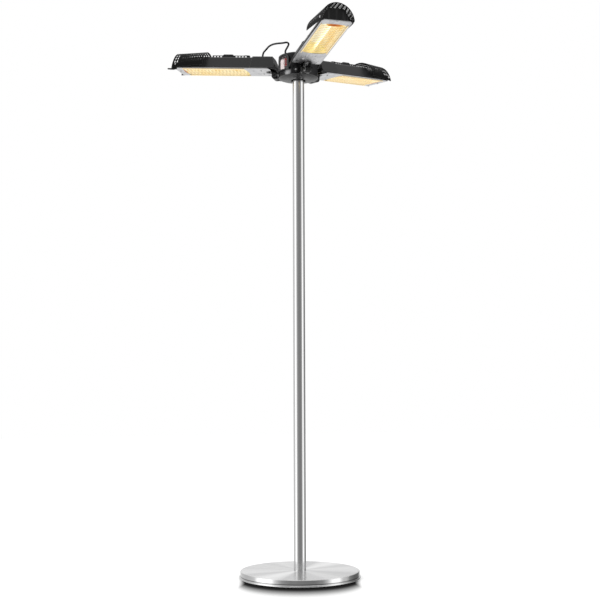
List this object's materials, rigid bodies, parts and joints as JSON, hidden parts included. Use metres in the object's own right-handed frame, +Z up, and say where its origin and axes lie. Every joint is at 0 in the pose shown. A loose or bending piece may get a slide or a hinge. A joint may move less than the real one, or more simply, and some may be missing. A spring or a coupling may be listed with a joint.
{
  "type": "outdoor heater",
  "caption": "Freestanding outdoor heater: steel pole on a round weighted base, hub with a rocker switch and hinged radiant arms with hoods, lamps and wire guards.",
  "frame": {"origin": "centre of the base on the floor", "axes": "+Z up along the pole, one arm points along -Y and the others stand a third of a turn either side"},
  "size_m": [0.9222, 0.786, 2.0185],
  "materials": {
    "base_steel": "brushed in rings, bright",
    "pole_steel": "polished lengthwise",
    "zinc_steel": "zinc plated",
    "ballast": "as cast",
    "rubber": "matt",
    "hub_grey": "satin cast",
    "hub_black": "satin",
    "black_plastic": "matt",
    "white_plastic": "matt",
    "rocker_red": "gloss",
    "clear_cover": "clear",
    "bright_bolt": "bright",
    "dark_bolt": "black oxide",
    "cast_bracket": "die cast",
    "arm_frame": "brushed",
    "arm_housing": "fine satin powder coat",
    "hood_black": "satin powder coat",
    "reflector": "polished",
    "lamp_glow": "glowing quartz tube",
    "lamp_ceramic": "unglazed",
    "guard_wire": "bright wire",
    "lead_rubber": "matt sheath"
  },
  "bodies": {
    "stand": {"base_cover": "base_steel", "base_ballast": "ballast", "base_pad": "rubber", "base_spigot": "zinc_steel", "base_bolt": "zinc_steel", "base_washer": "zinc_steel", "pole_lower": "pole_steel", "pole_middle": "pole_steel", "pole_upper": "pole_steel", "pole_couplers": "zinc_steel", "mains_grommet": "rubber", "hub_bowl": "hub_grey", "hub_drum": "hub_black", "hub_cap": "hub_black", "lead_glands": "black_plastic", "terminal_block": "white_plastic", "switch_frame": "black_plastic", "switch_cover": "clear_cover", "hinge_bolts": "dark_bolt", "front_lead": "lead_rubber", "right_lead": "lead_rubber", "left_lead": "lead_rubber"},
    "arm_front": {"front_hinge_bracket": "cast_bracket", "front_frame": "arm_frame", "front_housing": "arm_housing", "front_box_cover": "arm_housing", "front_hood": "hood_black", "front_reflector": "reflector", "front_lamp": "lamp_glow", "front_lamp_holders": "lamp_ceramic", "front_guard": "guard_wire", "front_screws": "bright_bolt"},
    "knob_front": {"front_lock_knob": "black_plastic", "front_lock_stud": "bright_bolt"},
    "arm_right": {"right_hinge_bracket": "cast_bracket", "right_frame": "arm_frame", "right_housing": "arm_housing", "right_box_cover": "arm_housing", "right_hood": "hood_black", "right_reflector": "reflector", "right_lamp": "lamp_glow", "right_lamp_holders": "lamp_ceramic", "right_guard": "guard_wire", "right_screws": "bright_bolt"},
    "knob_right": {"right_lock_knob": "black_plastic", "right_lock_stud": "bright_bolt"},
    "arm_left": {"left_hinge_bracket": "cast_bracket", "left_frame": "arm_frame", "left_housing": "arm_housing", "left_box_cover": "arm_housing", "left_hood": "hood_black", "left_reflector": "reflector", "left_lamp": "lamp_glow", "left_lamp_holders": "lamp_ceramic", "left_guard": "guard_wire", "left_screws": "bright_bolt"},
    "knob_left": {"left_lock_knob": "black_plastic", "left_lock_stud": "bright_bolt"},
    "rocker": {"switch_rocker": "rocker_red"}
  },
  "joints": [
    {"name": "front_tilt", "type": "hinge", "parent": "stand", "child": "arm_front", "pos_m": [0, -0.088, 1.889], "axis": [1, 0, 0], "range_deg": [0, 90], "deforming": ["front_lead"]},
    {"name": "right_tilt", "type": "hinge", "parent": "stand", "child": "arm_right", "pos_m": [0.07621, 0.044, 1.889], "axis": [-0.5, 0.866, 0], "range_deg": [0, 90], "deforming": ["right_lead"]},
    {"name": "left_tilt", "type": "hinge", "parent": "stand", "child": "arm_left", "pos_m": [-0.07621, 0.044, 1.889], "axis": [-0.5, -0.866, 0], "range_deg": [0, 90], "deforming": ["left_lead"]},
    {"name": "front_lock", "type": "hinge", "parent": "stand", "child": "knob_front", "pos_m": [-0.02894, -0.06952, 1.889], "axis": [-0.3843, -0.9232, 0], "range_deg": [0, 360]},
    {"name": "right_lock", "type": "hinge", "parent": "stand", "child": "knob_right", "pos_m": [0.07467, 0.0097, 1.889], "axis": [0.9917, 0.1288, 0], "range_deg": [0, 360]},
    {"name": "left_lock", "type": "hinge", "parent": "stand", "child": "knob_left", "pos_m": [-0.04573, 0.05982, 1.889], "axis": [-0.6074, 0.7944, 0], "range_deg": [0, 360]},
    {"name": "switch_rock", "type": "hinge", "parent": "stand", "child": "rocker", "pos_m": [-0.05716, -0.033, 1.9235], "axis": [0.5, -0.866, 0], "range_deg": [0, 16]}
  ]
}
